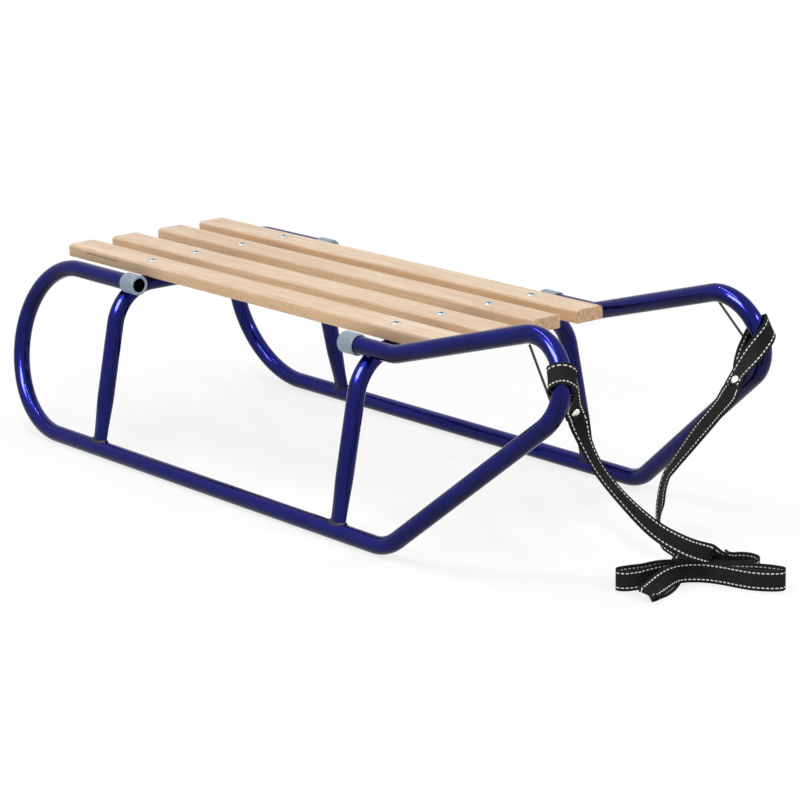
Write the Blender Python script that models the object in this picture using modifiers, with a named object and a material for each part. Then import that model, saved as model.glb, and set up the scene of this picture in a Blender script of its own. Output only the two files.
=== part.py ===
"""Metal sled: two bent tube runners carried by two tube arches, with a deck of four beech slats.

+X points forwards, +Y to the left and +Z up. The origin is on the ground, below the middle of the
sled's own box. All sizes are in metres.
"""
import math

import bmesh
import bpy
from mathutils import Matrix, Vector

# Steel tube of the runners and arches
TUBE_DIAMETER = 0.018
TUBE_WALL = 0.0015
TUBE_BORE_DEPTH = 0.045
TUBE_SIDES = 16
BEND_STEP = math.radians(10)

# Clearance between touching pieces
GAP = 0.0003

# Runner side view, measured in the plane of the runner from its ground line
RUNNER_TRACK = 0.338
RUNNER_LEAN = math.radians(11.8)
RUNNER_RISE = 0.1828
REAR_BEND_BEHIND_ARCH = 0.0795
REAR_END_AHEAD_OF_ARCH = 0.0344
FRONT_END_BEHIND_ARCH = 0.0276
SHOULDER_AHEAD_OF_ARCH = 0.0472
SHOULDER_SLOPE = math.radians(16.0)
SHOULDER_RADIUS = 0.050
CORNER_AHEAD_OF_ARCH = 0.0752
CORNER_RADIUS = 0.052
DIAGONAL_SLOPE = math.radians(39.3)
NOSE_RADIUS = 0.046

# Arches, and how far their crossbars lie below the top tubes of the runners
ARCH_SPACING = 0.408
CROSSBAR_DROP = 0.00674

# Plastic sleeves on the four open tube ends
SLEEVE_LENGTH = 0.022
SLEEVE_WALL = 0.0016
SLEEVE_LIP = 0.003
SLEEVE_EDGE_RADIUS = 0.0014

# Deck
SLAT_SIDE_CLEARANCE = 0.01377
SLAT_THICKNESS = 0.014
SLAT_REAR_OVERHANG = 0.135
SLAT_FRONT_OVERHANG = 0.0852
SLAT_GAP = 0.0222
SLAT_MIDDLE_GAP = 0.0271
SLAT_TOP_ROUNDING = 0.004
SLAT_BOTTOM_ROUNDING = 0.0015

# Countersunk deck screws
SCREW_HEAD_DIAMETER = 0.0110
SCREW_HEAD_RIM = 0.0004
SCREW_SHANK_DIAMETER = 0.0055
SCREW_GRIP_IN_ARCH = 0.010
SCREW_RECESS_WIDTH = 0.0064
SCREW_RECESS_SLOT = 0.0014
SCREW_RECESS_DEPTH = 0.0016
SCREW_SIDES = 24
SCREW_TURN_STEP = math.radians(37)

# Wire across the inside of each nose bend, which keeps the strap loop at the front
WIRE_DIAMETER = 0.0025
WIRE_TOP_ANGLE = math.radians(97)
WIRE_FRONT_ANGLE = math.radians(-17)

# Pull strap of woven webbing
STRAP_WIDTH = 0.020
STRAP_THICKNESS = 0.0018
STRAP_NOSE_ANGLE = math.radians(20)
STRAP_LOOP_CLEARANCE = 0.0048
STRAP_LAYER_CLEARANCE = 0.0010
STRAP_LOOP_RISE = 0.006
STRAP_LOOP_CREST = 0.018
STRAP_TAIL = 0.010
STRAP_RIVET_FLAT = 0.007
STRAP_SAMPLE = 0.007

# Rivet that closes each strap loop
RIVET_HEAD_DIAMETER = 0.0085
RIVET_HEAD_THICKNESS = 0.0014
RIVET_SHANK_DIAMETER = 0.003
RIVET_SIDES = 20

# Each rivet's place seen from the middle of its nose tube
RIGHT_RIVET_OFFSET = Vector((-0.0122, 0.0271, -0.0405))
LEFT_RIVET_OFFSET = Vector((0.0021, -0.0316, -0.0435))

# Free run of the strap from each rivet to the pile on the ground. Each stop is a share of the straight
# way to the run's end, how far the webbing bulges away from that straight way, and the direction
# across the webbing there.
RIGHT_END = Vector((0.4925, -0.0117, 0.0308))
RIGHT_RUN = (
    (0.139, (-0.0042, -0.0068, -0.0068), (0.12, 0.90, 0.40)),
    (0.302, (-0.0063, -0.0128, -0.0119), (0.15, 0.82, 0.52)),
    (0.498, (-0.0064, -0.0148, -0.0133), (0.18, 0.70, 0.66)),
    (0.727, (-0.0063, -0.0121, -0.0114), (0.21, 0.58, 0.79)),
    (0.895, (-0.0033, -0.0050, -0.0051), (0.15, 0.40, 0.90)),
    (1.000, (0.0, 0.0, 0.0), (0.05, 0.10, 0.99)),
)
LEFT_END = Vector((0.4715, -0.0175, 0.0108))
LEFT_RUN = (
    (0.093, (-0.0306, 0.0078, -0.0144), (-0.45, 0.80, 0.35)),
    (0.186, (-0.0490, 0.0154, -0.0251), (-0.60, 0.70, 0.30)),
    (0.262, (-0.0597, 0.0190, -0.0309), (-0.65, 0.70, 0.20)),
    (0.329, (-0.0770, 0.0215, -0.0376), (-0.70, 0.65, 0.20)),
    (0.407, (-0.0846, 0.0194, -0.0382), (-0.80, 0.50, 0.25)),
    (0.509, (-0.0825, 0.0179, -0.0365), (-0.75, 0.35, 0.45)),
    (0.639, (-0.0747, 0.0167, -0.0334), (-0.50, 0.25, 0.75)),
    (0.781, (-0.0574, 0.0147, -0.0270), (-0.20, 0.10, 0.95)),
    (0.859, (-0.0409, 0.0115, -0.0200), (0.00, 0.00, 1.00)),
    (0.930, (-0.0235, 0.0056, -0.0108), (0.00, 0.00, 1.00)),
    (1.000, (0.0, 0.0, 0.0), (0.00, 0.00, 1.00)),
)

# The strap's loose folds on the ground, as one upright block with round ends
PILE_LEFT_END = Vector((0.4580, -0.0560))
PILE_RIGHT_END = Vector((0.5330, 0.0210))
PILE_HALF_WIDTH = 0.0165
PILE_END_SEGMENTS = 10

TUBE_RADIUS = TUBE_DIAMETER / 2
REAR_ARCH_X = -ARCH_SPACING / 2
FRONT_ARCH_X = ARCH_SPACING / 2
SLEEVE_RADIUS = TUBE_RADIUS + GAP + SLEEVE_WALL
TOP_TUBE_HEIGHT = TUBE_RADIUS + RUNNER_RISE * math.cos(RUNNER_LEAN)
TOP_TUBE_ACROSS = RUNNER_TRACK / 2 - RUNNER_RISE * math.sin(RUNNER_LEAN)
CROSSBAR_HEIGHT = TOP_TUBE_HEIGHT - CROSSBAR_DROP
SLAT_TOP_HEIGHT = CROSSBAR_HEIGHT + TUBE_RADIUS + GAP + SLAT_THICKNESS
DECK_HALF_WIDTH = TOP_TUBE_ACROSS - SLEEVE_RADIUS - SLAT_SIDE_CLEARANCE
SLAT_WIDTH = DECK_HALF_WIDTH / 2 - SLAT_GAP / 2 - SLAT_MIDDLE_GAP / 4


def clear_scene():
    """Start from an empty scene."""
    for old in list(bpy.data.objects):
        bpy.data.objects.remove(old, do_unlink=True)


def make_collection(name):
    group = bpy.data.collections.new(name)
    bpy.context.scene.collection.children.link(group)
    return group


def make_material(name, colour, roughness, metallic=0.0, coat=0.0):
    material = bpy.data.materials.new(name)
    material.use_nodes = True
    shader = material.node_tree.nodes["Principled BSDF"]
    shader.inputs["Base Color"].default_value = (*colour, 1.0)
    shader.inputs["Roughness"].default_value = roughness
    shader.inputs["Metallic"].default_value = metallic
    shader.inputs["Coat Weight"].default_value = coat
    return material


def add_piece(name, mesh, material, place=None):
    """Put a finished mesh into the sled's collection under its own name."""
    piece = bpy.data.objects.new(name, mesh)
    if material.name not in mesh.materials:
        mesh.materials.append(material)
    if place is not None:
        piece.matrix_world = place
    PIECES.objects.link(piece)
    return piece


def evaluated_mesh(source, name):
    """A mesh of what an object looks like with its modifiers, welded, at the object's own place."""
    bpy.context.view_layer.update()
    depsgraph = bpy.context.evaluated_depsgraph_get()
    mesh = bpy.data.meshes.new_from_object(source.evaluated_get(depsgraph), depsgraph=depsgraph)
    mesh.name = name
    shape = bmesh.new()
    shape.from_mesh(mesh)
    bmesh.ops.remove_doubles(shape, verts=shape.verts, dist=1e-6)
    shape.to_mesh(mesh)
    shape.free()
    return mesh


def shade_round(mesh, sharp_angle=math.radians(35)):
    mesh.shade_smooth()
    mesh.set_sharp_from_angle(angle=sharp_angle)


def add_cutter(name, mesh, place):
    """A helper shape that only cuts others."""
    cutter = bpy.data.objects.new(name, mesh)
    cutter.matrix_world = place
    cutter.hide_render = True
    cutter.display_type = "WIRE"
    CUTTERS.objects.link(cutter)
    return cutter


def cut_away(piece, cutter):
    """Subtract a cutter from a piece."""
    cut = piece.modifiers.new("cut " + cutter.name, "BOOLEAN")
    cut.operation = "DIFFERENCE"
    cut.solver = "EXACT"
    cut.object = cutter


def rod_mesh(name, radius, length, sides):
    """A plain round bar along its own Z axis, centred."""
    mesh = bpy.data.meshes.new(name)
    shape = bmesh.new()
    bmesh.ops.create_cone(shape, cap_ends=True, segments=sides, radius1=radius, radius2=radius, depth=length)
    shape.to_mesh(mesh)
    shape.free()
    return mesh


def lathe_mesh(name, profile, sides, closed_ring=False):
    """A turned shape about Z from (radius, height) points that run down its outer side."""
    mesh = bpy.data.meshes.new(name + " profile")
    shape = bmesh.new()
    points = [shape.verts.new((radius, 0.0, height)) for radius, height in profile]
    for first, second in zip(points, points[1:]):
        shape.edges.new((first, second))
    if closed_ring:
        shape.edges.new((points[-1], points[0]))
    shape.to_mesh(mesh)
    shape.free()
    turned = bpy.data.objects.new(name + " profile", mesh)
    CUTTERS.objects.link(turned)
    spin = turned.modifiers.new("turn", "SCREW")
    spin.steps = sides
    spin.render_steps = sides
    spin.use_merge_vertices = True
    spin.merge_threshold = 1e-5
    result = evaluated_mesh(turned, name)
    bpy.data.objects.remove(turned, do_unlink=True)
    return result


def axis_along(direction, origin, roll=0.0):
    """A placement whose Z axis points along a direction."""
    turn = Vector(direction).to_track_quat("Z", "Y").to_matrix().to_4x4()
    return Matrix.Translation(origin) @ turn @ Matrix.Rotation(roll, 4, "Z")


def bent_line(stops):
    """Points along a line of straight runs whose corners are rounded.

    Each stop is (point, radius); the two ends have radius 0. A bend is split into BEND_STEP pieces.
    """
    points = [stops[0][0]]
    for index in range(1, len(stops) - 1):
        corner, radius = stops[index]
        back = (stops[index - 1][0] - corner).normalized()
        ahead = (stops[index + 1][0] - corner).normalized()
        half = back.angle(ahead) / 2
        inward = (back + ahead).normalized()
        centre = corner + inward * (radius / math.sin(half))
        start = corner + back * (radius / math.tan(half)) - centre
        normal = back.cross(ahead).normalized()
        turn = math.pi - 2 * half
        pieces = max(2, round(turn / BEND_STEP))
        for step in range(pieces + 1):
            swing = Matrix.Rotation(-turn * step / pieces, 3, normal)
            points.append(centre + swing @ start)
    points.append(stops[-1][0])
    return points


def tube_mesh(name, points, radius, sides=TUBE_SIDES):
    """A solid round tube along a line of points, with closed ends."""
    line = bpy.data.curves.new(name + " line", "CURVE")
    line.dimensions = "3D"
    line.bevel_depth = radius
    line.bevel_resolution = (sides - 4) // 2
    line.use_fill_caps = True
    line.render_resolution_u = 0
    spline = line.splines.new("POLY")
    spline.points.add(len(points) - 1)
    for spot, point in zip(spline.points, points):
        spot.co = (*point, 1.0)
    guide = bpy.data.objects.new(name + " line", line)
    CUTTERS.objects.link(guide)
    mesh = evaluated_mesh(guide, name)
    bpy.data.objects.remove(guide, do_unlink=True)
    shade_round(mesh)
    return mesh


def in_runner(side, along, up):
    """A point of the leaning runner plane: side is -1 for right and 1 for left."""
    return Vector((
        along,
        side * (RUNNER_TRACK / 2 - up * math.sin(RUNNER_LEAN)),
        TUBE_RADIUS + up * math.cos(RUNNER_LEAN),
    ))


def nose_corner():
    """Where the diagonal and the top run of a runner would meet if the nose were sharp."""
    shoulder_x = FRONT_ARCH_X + SHOULDER_AHEAD_OF_ARCH
    corner_x = FRONT_ARCH_X + CORNER_AHEAD_OF_ARCH
    rise, climb = math.tan(SHOULDER_SLOPE), math.tan(DIAGONAL_SLOPE)
    along = (RUNNER_RISE - rise * shoulder_x + climb * corner_x) / (climb - rise)
    return along, climb * (along - corner_x)


def nose_centre():
    """Centre of the nose bend in the runner plane."""
    along, up = nose_corner()
    half = (DIAGONAL_SLOPE - SHOULDER_SLOPE) / 2
    middle = (DIAGONAL_SLOPE + SHOULDER_SLOPE) / 2
    reach = NOSE_RADIUS / math.sin(half)
    return along - reach * math.cos(middle), up - reach * math.sin(middle)


def box_middle():
    """Middle of the sled's length, from the outside of the rear bend to the outside of the nose."""
    rear = REAR_ARCH_X - REAR_BEND_BEHIND_ARCH - RUNNER_RISE / 2
    front = nose_centre()[0] + NOSE_RADIUS
    return (rear + front) / 2


def on_nose(side, angle, radius):
    """A point at an angle and radius from the middle of a nose bend; 0 is forwards, 90 degrees is up."""
    along, up = nose_centre()
    return in_runner(side, along + radius * math.cos(angle), up + radius * math.sin(angle))


def build_runner(side, name):
    """One bent tube: front end, shoulder, nose, diagonal, ground run, rear bend and rear end."""
    front_end = FRONT_ARCH_X - FRONT_END_BEHIND_ARCH + SLEEVE_LIP + GAP
    rear_end = REAR_ARCH_X + REAR_END_AHEAD_OF_ARCH - SLEEVE_LIP - GAP
    rear_bend = RUNNER_RISE / 2
    rear_corner = REAR_ARCH_X - REAR_BEND_BEHIND_ARCH - rear_bend
    nose = nose_corner()
    stops = [
        (in_runner(side, front_end, RUNNER_RISE), 0.0),
        (in_runner(side, FRONT_ARCH_X + SHOULDER_AHEAD_OF_ARCH, RUNNER_RISE), SHOULDER_RADIUS),
        (in_runner(side, *nose), NOSE_RADIUS),
        (in_runner(side, FRONT_ARCH_X + CORNER_AHEAD_OF_ARCH, 0.0), CORNER_RADIUS),
        (in_runner(side, rear_corner, 0.0), rear_bend),
        (in_runner(side, rear_corner, RUNNER_RISE), rear_bend),
        (in_runner(side, rear_end, RUNNER_RISE), 0.0),
    ]
    piece = add_piece(name, tube_mesh(name, bent_line(stops), TUBE_RADIUS), BLUE, AT_MIDDLE)
    bore = rod_mesh(name + " bore", TUBE_RADIUS - TUBE_WALL, 2 * TUBE_BORE_DEPTH, TUBE_SIDES)
    for end in (front_end, rear_end):
        place = AT_MIDDLE @ axis_along((1, 0, 0), in_runner(side, end, RUNNER_RISE))
        cut_away(piece, add_cutter(name + " bore cutter", bore, place))
    return piece


def arch_bend_radius():
    """Bend radius that lets the runner's top tube rest on the outside of the arch's bend.

    In the cross view the arch's leg leans with the runner and meets the crossbar at a corner. The
    bend's centre lies on the bisector there, and must be one radius plus two tube radii from the
    middle of the runner's top tube.
    """
    up_to_crossbar = (CROSSBAR_HEIGHT - TUBE_RADIUS) / math.cos(RUNNER_LEAN)
    corner = in_runner(1, 0.0, up_to_crossbar)
    rest = in_runner(1, 0.0, RUNNER_RISE) - corner
    down_leg = Vector((0.0, math.sin(RUNNER_LEAN), -math.cos(RUNNER_LEAN)))
    inward = Vector((0.0, -1.0, 0.0))
    bisector = (down_leg + inward).normalized()
    stretch = 1 / math.sin(down_leg.angle(inward) / 2)
    spacing = TUBE_DIAMETER + GAP
    square = stretch ** 2 - 1
    linear = stretch * rest.dot(bisector) + spacing
    constant = rest.length_squared - spacing ** 2
    return (linear + math.sqrt(linear ** 2 - square * constant)) / square


def screw_rows():
    """Middle of each slat across the deck, from right to left."""
    pitch = SLAT_WIDTH + SLAT_GAP
    inner = (SLAT_WIDTH + SLAT_MIDDLE_GAP) / 2
    return (-inner - pitch, -inner, inner, inner + pitch)


def build_arch(name, along):
    """A tube bent to an inverted U whose feet are saddled on the ground runs of both runners."""
    up_to_crossbar = (CROSSBAR_HEIGHT - TUBE_RADIUS) / math.cos(RUNNER_LEAN)
    bend = arch_bend_radius()
    stops = [
        (in_runner(-1, along, 0.0), 0.0),
        (in_runner(-1, along, up_to_crossbar), bend),
        (in_runner(1, along, up_to_crossbar), bend),
        (in_runner(1, along, 0.0), 0.0),
    ]
    piece = add_piece(name, tube_mesh(name, bent_line(stops), TUBE_RADIUS), BLUE, AT_MIDDLE)
    saddle = rod_mesh(name + " saddle", TUBE_RADIUS + GAP, 4 * TUBE_DIAMETER, 2 * TUBE_SIDES)
    for side in (-1, 1):
        place = AT_MIDDLE @ axis_along((1, 0, 0), in_runner(side, along, 0.0))
        cut_away(piece, add_cutter(name + " saddle cutter", saddle, place))
    hole_depth = SCREW_GRIP_IN_ARCH + 2 * GAP
    hole = rod_mesh(name + " screw hole", SCREW_SHANK_DIAMETER / 2 + GAP, 2 * hole_depth, SCREW_SIDES)
    for across in screw_rows():
        place = AT_MIDDLE @ Matrix.Translation((along, across, CROSSBAR_HEIGHT + TUBE_RADIUS))
        cut_away(piece, add_cutter(name + " screw hole cutter", hole, place))
    return piece


def sleeve_mesh():
    """Turned sleeve: it slides over the tube's end and closes down to the tube's bore at its mouth."""
    outer, edge = SLEEVE_RADIUS, SLEEVE_EDGE_RADIUS
    seat, mouth = TUBE_RADIUS + GAP, TUBE_RADIUS - TUBE_WALL
    profile = [(mouth, SLEEVE_LENGTH)]
    for step in range(4):
        angle = math.pi / 2 * (1 - step / 3)
        profile.append((outer - edge + edge * math.cos(angle), SLEEVE_LENGTH - edge + edge * math.sin(angle)))
    profile.append((outer, 0.0))
    profile.append((seat, 0.0))
    profile.append((seat, SLEEVE_LENGTH - SLEEVE_LIP))
    profile.append((mouth, SLEEVE_LENGTH - SLEEVE_LIP))
    mesh = lathe_mesh("sleeve", profile, SCREW_SIDES, closed_ring=True)
    shade_round(mesh)
    return mesh


def build_sleeves():
    """A sleeve on each of the four open ends; the mouths face the middle of the sled."""
    mesh = sleeve_mesh()
    front_start = FRONT_ARCH_X - FRONT_END_BEHIND_ARCH + SLEEVE_LENGTH
    rear_start = REAR_ARCH_X + REAR_END_AHEAD_OF_ARCH - SLEEVE_LENGTH
    for side, side_name in SIDES:
        front = axis_along((-1, 0, 0), in_runner(side, front_start, RUNNER_RISE))
        rear = axis_along((1, 0, 0), in_runner(side, rear_start, RUNNER_RISE))
        add_piece("sleeve_front_" + side_name, mesh, SLEEVE_GREY, AT_MIDDLE @ front)
        add_piece("sleeve_rear_" + side_name, mesh, SLEEVE_GREY, AT_MIDDLE @ rear)


def countersunk_profile(head_radius, rim, shank_radius, depth):
    """Half section of a countersunk screw from its flat top down, with a 90 degree cone."""
    cone_end = rim + head_radius - shank_radius
    return [(0.0, 0.0), (head_radius, 0.0), (head_radius, -rim), (shank_radius, -cone_end),
            (shank_radius, -depth), (0.0, -depth)]


def build_slats():
    """Four planks with rounded long edges and a countersunk hole over each arch."""
    length = SLAT_REAR_OVERHANG + ARCH_SPACING + SLAT_FRONT_OVERHANG
    middle_x = (FRONT_ARCH_X + SLAT_FRONT_OVERHANG + REAR_ARCH_X - SLAT_REAR_OVERHANG) / 2
    mesh = bpy.data.meshes.new("slat")
    shape = bmesh.new()
    bmesh.ops.create_cube(shape, size=1.0)
    bmesh.ops.scale(shape, vec=(length, SLAT_WIDTH, SLAT_THICKNESS), verts=shape.verts)
    for level, rounding, segments in ((1, SLAT_TOP_ROUNDING, 5), (-1, SLAT_BOTTOM_ROUNDING, 3)):
        height = level * SLAT_THICKNESS / 2
        edges = [edge for edge in shape.edges
                 if all(abs(corner.co.z - height) < 1e-6 for corner in edge.verts)
                 and abs(edge.verts[0].co.x - edge.verts[1].co.x) > length / 2]
        bmesh.ops.bevel(shape, geom=edges, offset=rounding, segments=segments, profile=0.5, affect="EDGES")
    shape.to_mesh(mesh)
    shape.free()
    shade_round(mesh)
    head = SCREW_HEAD_DIAMETER / 2 + GAP
    countersink = lathe_mesh("countersink", countersunk_profile(
        head + GAP, SCREW_HEAD_RIM + GAP, SCREW_SHANK_DIAMETER / 2 + GAP, 2 * SLAT_THICKNESS), SCREW_SIDES)
    bottom = SLAT_TOP_HEIGHT - SLAT_THICKNESS / 2
    for number, across in enumerate(screw_rows(), start=1):
        place = AT_MIDDLE @ Matrix.Translation((middle_x, across, bottom))
        piece = add_piece("slat_%d" % number, mesh.copy(), BEECH, place)
        for along in (REAR_ARCH_X, FRONT_ARCH_X):
            seat = AT_MIDDLE @ Matrix.Translation((along, across, SLAT_TOP_HEIGHT + GAP / 2))
            cut_away(piece, add_cutter("slat countersink cutter", countersink, seat))


def screw_mesh():
    """Countersunk screw with a cross recess, its flat top at height 0."""
    depth = SLAT_THICKNESS + SCREW_GRIP_IN_ARCH - GAP
    profile = countersunk_profile(SCREW_HEAD_DIAMETER / 2, SCREW_HEAD_RIM, SCREW_SHANK_DIAMETER / 2, depth)
    blank = bpy.data.objects.new("screw blank", lathe_mesh("screw blank", profile, SCREW_SIDES))
    CUTTERS.objects.link(blank)
    slot = bpy.data.meshes.new("screw recess")
    shape = bmesh.new()
    bmesh.ops.create_cube(shape, size=1.0)
    bmesh.ops.scale(shape, vec=(SCREW_RECESS_WIDTH, SCREW_RECESS_SLOT, 2 * SCREW_RECESS_DEPTH), verts=shape.verts)
    shape.to_mesh(slot)
    shape.free()
    for quarter in (0, 1):
        cutter = add_cutter("screw recess cutter", slot, Matrix.Rotation(quarter * math.pi / 2, 4, "Z"))
        cut_away(blank, cutter)
    mesh = evaluated_mesh(blank, "deck screw")
    bpy.data.objects.remove(blank, do_unlink=True)
    shade_round(mesh)
    return mesh


def build_screws():
    """One screw through each slat into each arch, its head just below the slat's top."""
    mesh = screw_mesh()
    count = 0
    for along, place_name in ((REAR_ARCH_X, "rear"), (FRONT_ARCH_X, "front")):
        for number, across in enumerate(screw_rows(), start=1):
            spot = Matrix.Translation((along, across, SLAT_TOP_HEIGHT - GAP))
            turn = Matrix.Rotation(count * SCREW_TURN_STEP, 4, "Z")
            add_piece("screw_%s_%d" % (place_name, number), mesh, ZINC, AT_MIDDLE @ spot @ turn)
            count += 1


def build_nose_wire(side, name):
    """Straight wire from the underside of the top run to the inside of the nose."""
    inside = NOSE_RADIUS - TUBE_RADIUS
    top = on_nose(side, WIRE_TOP_ANGLE, inside)
    front = on_nose(side, WIRE_FRONT_ANGLE, inside)
    line = (front - top).normalized()
    half = (WIRE_TOP_ANGLE - WIRE_FRONT_ANGLE) / 2
    trim = (GAP + WIRE_DIAMETER / 2 * math.cos(half)) / math.sin(half)
    length = (front - top).length - 2 * trim
    centre = (front + top) / 2
    mesh = rod_mesh(name, WIRE_DIAMETER / 2, length, TUBE_SIDES // 2)
    shade_round(mesh)
    add_piece(name, mesh, WIRE_BLACK, AT_MIDDLE @ axis_along(line, centre))


def strap_loop(side, rivet):
    """Route of the webbing from its cut end round the nose tube and back over the rivet.

    Returns the stops (point, direction across the webbing) and the direction through the rivet.
    """
    centre = AT_MIDDLE @ on_nose(side, STRAP_NOSE_ANGLE, NOSE_RADIUS)
    ahead = AT_MIDDLE @ on_nose(side, STRAP_NOSE_ANGLE + 0.01, NOSE_RADIUS)
    tube_line = (ahead - centre).normalized()
    offset = rivet - centre
    drop = offset.dot(tube_line)
    outward = offset - tube_line * drop
    reach = outward.length
    outward.normalize()
    through = tube_line.cross(outward)
    bend_axis = tube_line.cross(AT_MIDDLE @ on_nose(side, STRAP_NOSE_ANGLE, 0.0) - centre).normalized()
    wrap = TUBE_RADIUS + STRAP_LOOP_CLEARANCE + STRAP_THICKNESS / 2
    leave = math.acos(wrap / reach)
    straight = math.sqrt(reach ** 2 - wrap ** 2)
    half_length = (math.pi - leave) * wrap + straight
    slope = (STRAP_LOOP_RISE - drop) / (math.hypot(half_length, STRAP_LOOP_CREST) - STRAP_LOOP_CREST)

    def lift(distance):
        return STRAP_LOOP_RISE - slope * (math.hypot(distance, STRAP_LOOP_CREST) - STRAP_LOOP_CREST)

    layer = (STRAP_THICKNESS + STRAP_LAYER_CLEARANCE) / 2
    pull = (tube_line * (lift(half_length) - lift(half_length - straight)) + outward * straight).normalized()
    near, far = rivet + through * layer, rivet - through * layer
    stops = [(near + pull * STRAP_TAIL, None), (near, None), (near - pull * STRAP_RIVET_FLAT, None)]
    pieces = max(8, round(2 * (math.pi - leave) / math.radians(22)))
    for step in range(pieces + 1):
        angle = leave + 2 * (math.pi - leave) * step / pieces
        radial = outward * math.cos(angle) + through * math.sin(angle)
        height = lift((angle - math.pi) * wrap)
        here = AT_MIDDLE @ on_nose(side, STRAP_NOSE_ANGLE + height / NOSE_RADIUS, NOSE_RADIUS)
        turned = Matrix.Rotation(height / NOSE_RADIUS, 3, bend_axis) @ radial
        stops.append((here + turned * wrap, turned))
    stops += [(far - pull * STRAP_RIVET_FLAT, None), (far, None), (far + pull * STRAP_TAIL, None)]
    route = []
    for index, (point, radial) in enumerate(stops):
        before = stops[max(index - 1, 0)][0]
        after = stops[min(index + 1, len(stops) - 1)][0]
        along = (after - before).normalized()
        if radial is None:
            radial = through if index < len(stops) / 2 else -through
        route.append((point, radial.cross(along).normalized()))
    return route, through


def smooth_route(stops, spacing):
    """Even samples of a smooth curve through the stops, with the direction across it."""
    knots = [0.0]
    for first, second in zip(stops, stops[1:]):
        knots.append(knots[-1] + (second[0] - first[0]).length)

    def slope(index, part):
        before, after = max(index - 1, 0), min(index + 1, len(stops) - 1)
        return (stops[after][part] - stops[before][part]) / (knots[after] - knots[before])

    samples = []
    for index in range(len(stops) - 1):
        span = knots[index + 1] - knots[index]
        pieces = max(1, round(span / spacing))
        for step in range(pieces):
            share = step / pieces
            left = 1 - share
            values = []
            for part in (0, 1):
                start = stops[index][part] * ((1 + 2 * share) * left ** 2)
                end = stops[index + 1][part] * ((3 - 2 * share) * share ** 2)
                leaving = slope(index, part) * (span * share * left ** 2)
                arriving = slope(index + 1, part) * (span * left * share ** 2)
                values.append(start + end + leaving - arriving)
            samples.append(tuple(values))
    samples.append(stops[-1])
    return samples


def webbing_mesh(name, stops):
    """A flat band along a route, thickened evenly on both sides."""
    samples = smooth_route(stops, STRAP_SAMPLE)
    mesh = bpy.data.meshes.new(name)
    shape = bmesh.new()
    rows = []
    for index, (point, across) in enumerate(samples):
        along = samples[min(index + 1, len(samples) - 1)][0] - samples[max(index - 1, 0)][0]
        across = (across - along * (across.dot(along) / along.length_squared)).normalized()
        offset = across * (STRAP_WIDTH / 2)
        rows.append((shape.verts.new(point - offset), shape.verts.new(point + offset)))
    for (first_low, first_high), (second_low, second_high) in zip(rows, rows[1:]):
        shape.faces.new((first_low, second_low, second_high, first_high))
    shape.to_mesh(mesh)
    shape.free()
    band = bpy.data.objects.new(name + " band", mesh)
    CUTTERS.objects.link(band)
    wall = band.modifiers.new("thickness", "SOLIDIFY")
    wall.thickness = STRAP_THICKNESS
    wall.offset = 0.0
    result = evaluated_mesh(band, name)
    bpy.data.objects.remove(band, do_unlink=True)
    return result


def build_strap_side(side, side_name, rivet_offset, run, run_end):
    """One end of the pull strap: loop round the nose, rivet, and free run down to the pile."""
    rivet = AT_MIDDLE @ on_nose(side, STRAP_NOSE_ANGLE, NOSE_RADIUS) + rivet_offset
    loop, through = strap_loop(side, rivet)
    stops = loop + [(rivet.lerp(run_end, share) + Vector(bulge), Vector(across).normalized())
                    for share, bulge, across in run]
    name = "strap_" + side_name
    band = add_piece(name, webbing_mesh(name, stops), WEBBING)
    length = 2 * STRAP_THICKNESS + STRAP_LAYER_CLEARANCE + 2 * GAP
    hole = rod_mesh(name + " rivet hole", RIVET_SHANK_DIAMETER / 2 + GAP, 2 * length, RIVET_SIDES)
    cut_away(band, add_cutter(name + " rivet hole cutter", hole, axis_along(through, rivet)))
    head, shank = RIVET_HEAD_DIAMETER / 2, RIVET_SHANK_DIAMETER / 2
    top = length / 2 + RIVET_HEAD_THICKNESS
    dome = head * 0.6
    profile = [(0.0, top), (dome, top), (head, length / 2 + RIVET_HEAD_THICKNESS / 3), (head, length / 2),
               (shank, length / 2), (shank, -length / 2), (head, -length / 2),
               (head, -length / 2 - RIVET_HEAD_THICKNESS / 3), (dome, -top), (0.0, -top)]
    mesh = lathe_mesh("rivet", profile, RIVET_SIDES)
    shade_round(mesh)
    add_piece("rivet_" + side_name, mesh, NICKEL, axis_along(through, rivet))


def build_pile():
    """The strap's folds on the ground as one upright block with round ends."""
    outline = bpy.data.curves.new("strap pile outline", "CURVE")
    outline.dimensions = "2D"
    outline.fill_mode = "BOTH"
    outline.extrude = STRAP_WIDTH / 2
    outline.render_resolution_u = 0
    line = (PILE_RIGHT_END - PILE_LEFT_END).normalized()
    heading = math.atan2(line.y, line.x)
    points = []
    for end, start in ((PILE_RIGHT_END, heading - math.pi / 2), (PILE_LEFT_END, heading + math.pi / 2)):
        for step in range(PILE_END_SEGMENTS + 1):
            angle = start + math.pi * step / PILE_END_SEGMENTS
            points.append(end + Vector((math.cos(angle), math.sin(angle))) * PILE_HALF_WIDTH)
    spline = outline.splines.new("POLY")
    spline.points.add(len(points) - 1)
    for spot, point in zip(spline.points, points):
        spot.co = (point.x, point.y, 0.0, 1.0)
    spline.use_cyclic_u = True
    guide = bpy.data.objects.new("strap pile outline", outline)
    CUTTERS.objects.link(guide)
    mesh = evaluated_mesh(guide, "strap_pile")
    bpy.data.objects.remove(guide, do_unlink=True)
    add_piece("strap_pile", mesh, WEBBING, Matrix.Translation((0.0, 0.0, STRAP_WIDTH / 2 + GAP)))


clear_scene()
PIECES = make_collection("metal sled")
CUTTERS = make_collection("cutters")
SIDES = ((-1, "right"), (1, "left"))
AT_MIDDLE = Matrix.Translation((-box_middle(), 0.0, 0.0))

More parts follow.
